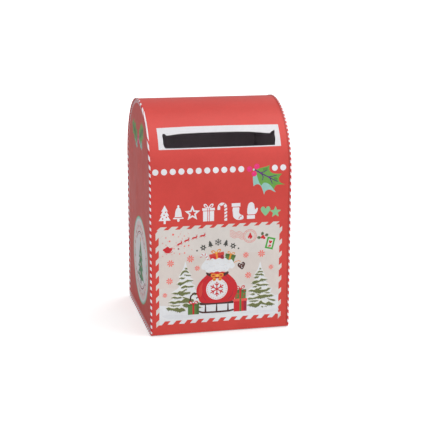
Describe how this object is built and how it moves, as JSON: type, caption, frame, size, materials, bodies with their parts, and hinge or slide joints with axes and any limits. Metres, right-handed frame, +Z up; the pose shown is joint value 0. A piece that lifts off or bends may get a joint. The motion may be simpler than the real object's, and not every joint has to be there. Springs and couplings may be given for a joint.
{
  "type": "tin money box",
  "caption": "Post-box shaped printed tin money box with a wide letter slot in its domed front, seamed end panels, a base tray and a hinged rear door with a cam lock.",
  "frame": {"origin": "centre of the face it rests on, midway between the two end panels and midway between the front and the back sheet", "axes": "+Z up, -Y the slotted front, +Y the door at the back, +X the right end panel seen from the front"},
  "size_m": [0.1, 0.117, 0.16],
  "materials": {
    "printed_tin": "red printed tinplate, satin varnish",
    "printed_tin_end": "red printed tinplate with a candy-striped border",
    "bare_tinplate": "bare tinplate",
    "painted_tin_door": "red coated tinplate",
    "hinge_steel": "zinc-plated steel",
    "rivet_aluminium": "plain aluminium",
    "lock_nickel": "nickel plate",
    "plug_brass": "plain brass",
    "key_nickel": "nickel-plated stamping"
  },
  "bodies": {
    "tin_body": {"body_wrap": "printed_tin", "left_end_panel": "printed_tin_end", "right_end_panel": "printed_tin_end", "base_panel": "bare_tinplate", "hinge_leaf_body": "hinge_steel", "hinge_pin": "hinge_steel", "body_leaf_rivets": "rivet_aluminium"},
    "door": {"rear_door": "painted_tin_door", "hinge_leaf_door": "hinge_steel", "door_leaf_rivets": "rivet_aluminium", "lock_housing": "lock_nickel", "lock_nut": "lock_nickel"},
    "lock_core": {"lock_plug": "plug_brass", "lock_cam": "hinge_steel", "cam_nut": "lock_nickel"},
    "key_body": {"key": "key_nickel"}
  },
  "joints": [
    {"name": "door_swing", "type": "hinge", "parent": "tin_body", "child": "door", "pos_m": [0.0356, 0.0498, 0.059], "axis": [0, 0, -1], "range_deg": [0, 110]},
    {"name": "lock_turn", "type": "hinge", "parent": "door", "child": "lock_core", "pos_m": [-0.021, 0.05, 0.059], "axis": [0, 1, 0], "range_deg": [0, 90]},
    {"name": "key_pull", "type": "slide", "parent": "lock_core", "child": "key_body", "axis": [0, 1, 0], "range_m": [0, 0.014]}
  ]
}
